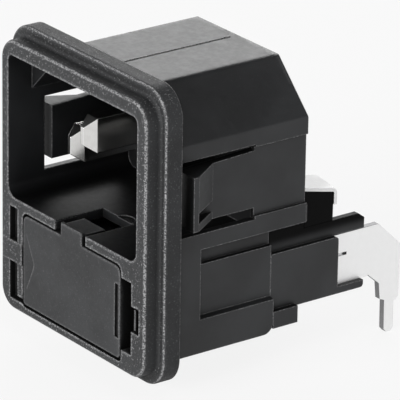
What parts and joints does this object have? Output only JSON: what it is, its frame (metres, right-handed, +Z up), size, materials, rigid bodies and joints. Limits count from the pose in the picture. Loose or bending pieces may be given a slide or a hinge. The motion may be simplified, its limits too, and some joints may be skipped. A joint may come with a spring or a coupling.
{
  "type": "c14 panel inlet socket",
  "caption": "Snap-in panel mains inlet socket with a recessed three-blade C14 connector, a pull-out two-pole fuse drawer below it and board pins at the rear.",
  "frame": {"origin": "centre of the panel cut-out, in the plane of the flange's rear face, midway between the top and bottom of the body", "axes": "+X across the panel to the right as seen from behind the viewer facing the inlet, +Y back through the panel, +Z up"},
  "size_m": [0.03, 0.037, 0.0364],
  "materials": {
    "housing_black": "fine grained thermoplastic",
    "carrier_black": "smooth thermoplastic",
    "retainer_black": "smooth thermoplastic",
    "drawer_black": "fine grained thermoplastic",
    "contact_metal": "nickel plated, satin",
    "strip_metal": "tin plated, satin",
    "terminal_metal": "tin plated, bright",
    "spring_metal": "tin plated spring strip",
    "fuse_cap": "nickel plated",
    "fuse_glass": "clear",
    "fuse_wire": "bright wire"
  },
  "bodies": {
    "socket": {"housing": "housing_black", "rear_carrier": "carrier_black", "blade_retainer": "retainer_black", "earth_blade": "contact_metal", "earth_strip": "strip_metal", "line_blade": "contact_metal", "line_link": "strip_metal", "line_terminal": "terminal_metal", "line_front_clip": "spring_metal", "line_rear_clip": "spring_metal", "neutral_blade": "contact_metal", "neutral_link": "strip_metal", "neutral_terminal": "terminal_metal", "neutral_front_clip": "spring_metal", "neutral_rear_clip": "spring_metal"},
    "drawer": {"fuse_drawer": "drawer_black", "line_fuse_tube": "fuse_glass", "line_fuse_front_cap": "fuse_cap", "line_fuse_rear_cap": "fuse_cap", "line_fuse_wire": "fuse_wire", "neutral_fuse_tube": "fuse_glass", "neutral_fuse_front_cap": "fuse_cap", "neutral_fuse_rear_cap": "fuse_cap", "neutral_fuse_wire": "fuse_wire"}
  },
  "joints": [
    {"name": "drawer_slide", "type": "slide", "parent": "socket", "child": "drawer", "axis": [0, -1, 0], "range_m": [0, 0.022]}
  ]
}
